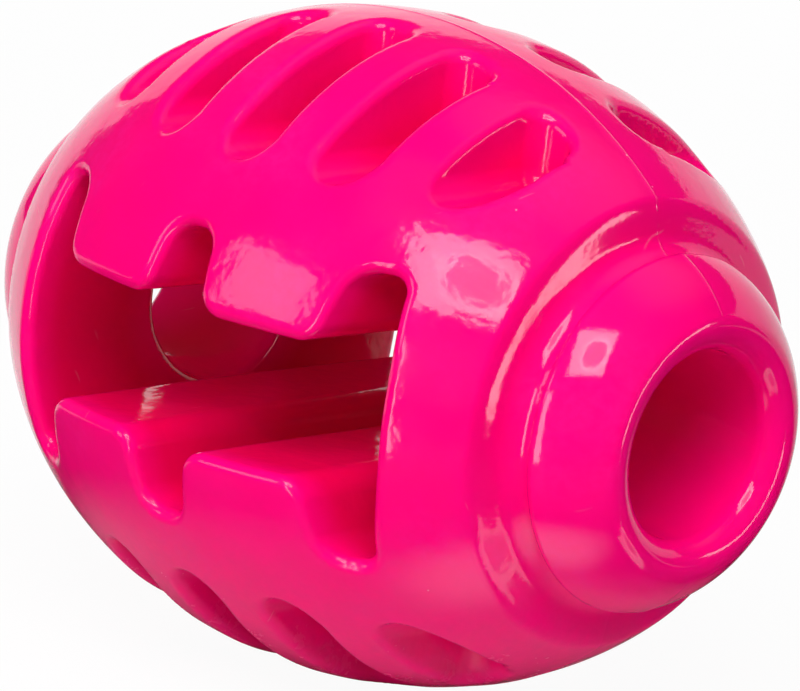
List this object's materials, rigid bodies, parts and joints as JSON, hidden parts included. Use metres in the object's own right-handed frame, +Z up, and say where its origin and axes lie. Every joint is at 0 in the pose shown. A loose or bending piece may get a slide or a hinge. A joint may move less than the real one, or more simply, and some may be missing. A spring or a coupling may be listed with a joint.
{
  "type": "rugby ball dog toy",
  "caption": "Egg-shaped rubber chew toy with a ringed nose at each end, open end bores, a toothed treat window right through its sides and rows of cored slots.",
  "frame": {"origin": "centre of the ball, on the seam plane and on the long axis", "axes": "+X along the ball's long axis through both end bores, Y across the seam and through the window, +Z up from the lower jaw to the upper jaw"},
  "size_m": [0.1022, 0.0774, 0.08],
  "materials": {
    "rubber": "glossy, hot pink"
  },
  "bodies": {
    "root": {"near_half": "rubber", "far_half": "rubber"}
  },
  "joints": []
}
